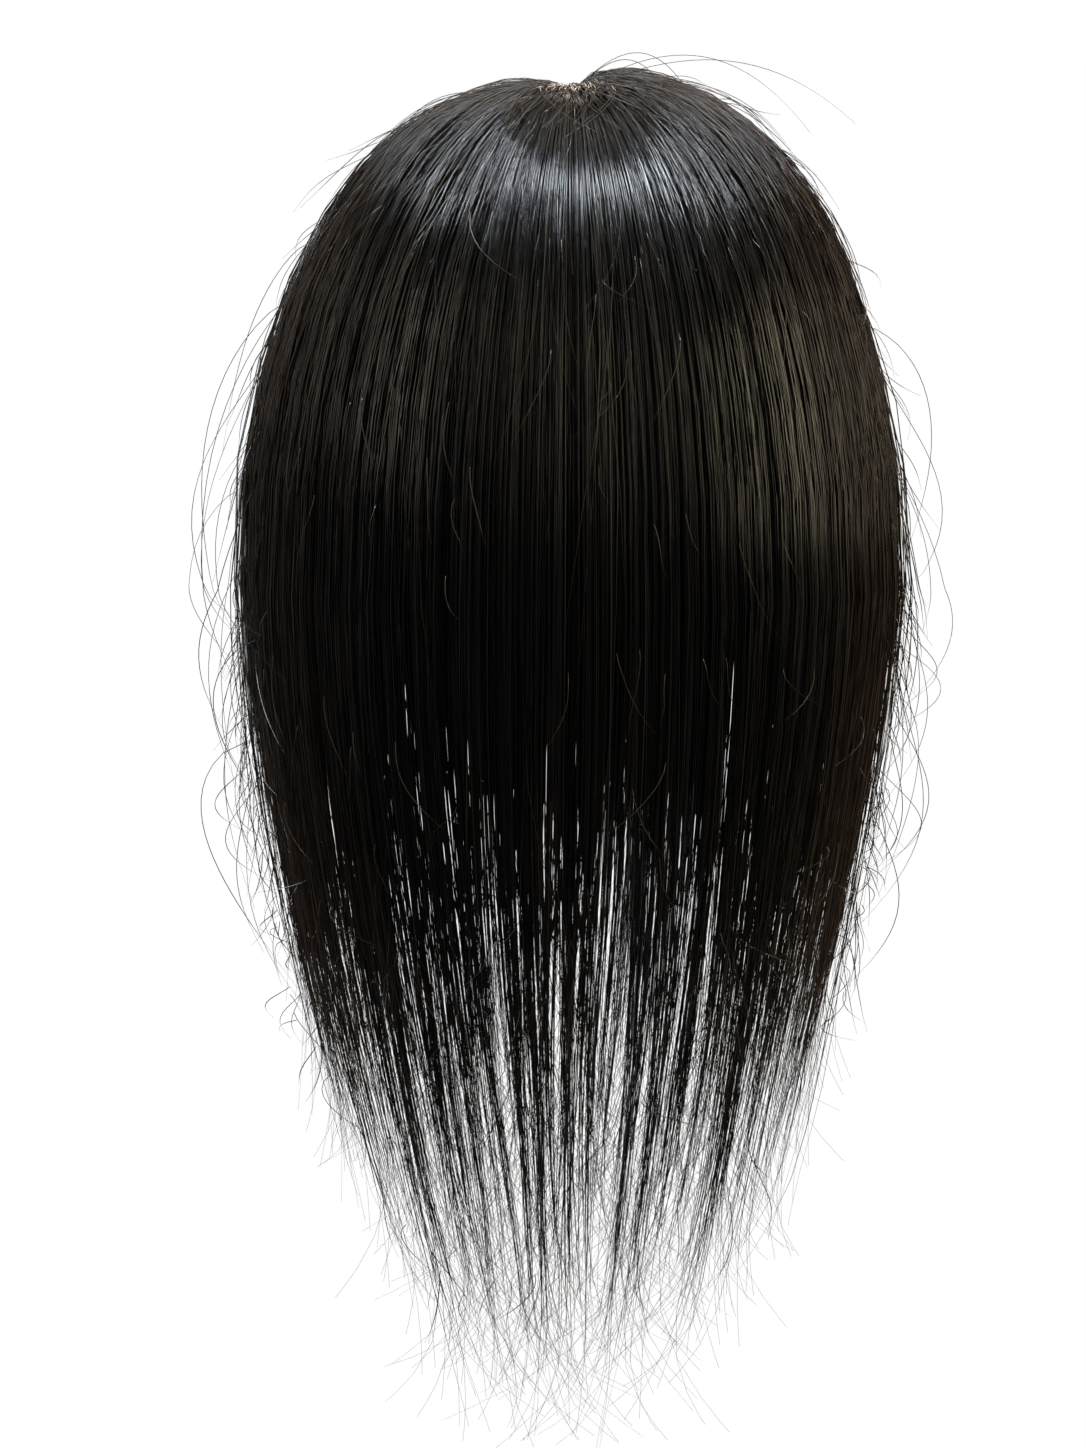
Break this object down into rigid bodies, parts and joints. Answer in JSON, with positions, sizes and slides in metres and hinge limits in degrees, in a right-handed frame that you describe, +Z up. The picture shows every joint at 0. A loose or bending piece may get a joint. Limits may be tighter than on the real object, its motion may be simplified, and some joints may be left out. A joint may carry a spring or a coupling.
{
  "type": "toupee hairpiece, a long straight hair topper",
  "caption": "Long straight dark hair topper: a shallow cap with clips under it and hair parted from a crown whorl, falling round an open head hollow.",
  "frame": {"origin": "top of the head, on the underside of the base cap, where the topper sits", "axes": "+Z up, the wearer faces -Y, +X to the wearer's left; the picture looks along -Y at the back of the hair"},
  "size_m": [0.1792, 0.1758, 0.3527],
  "materials": {
    "hair": "long straight strands, near black with dark brown sides, silky sheen",
    "cap_net": "fine dark brown net, matt",
    "clip_steel": "dark brown enamel, satin"
  },
  "bodies": {
    "root": {"base_cap": "cap_net", "front_clip": "clip_steel", "back_clip": "clip_steel", "left_clip": "clip_steel", "right_clip": "clip_steel", "back_hair": "hair", "back_left_hair": "hair", "side_left_hair": "hair", "front_left_hair": "hair", "back_right_hair": "hair", "side_right_hair": "hair", "front_right_hair": "hair"}
  },
  "joints": []
}
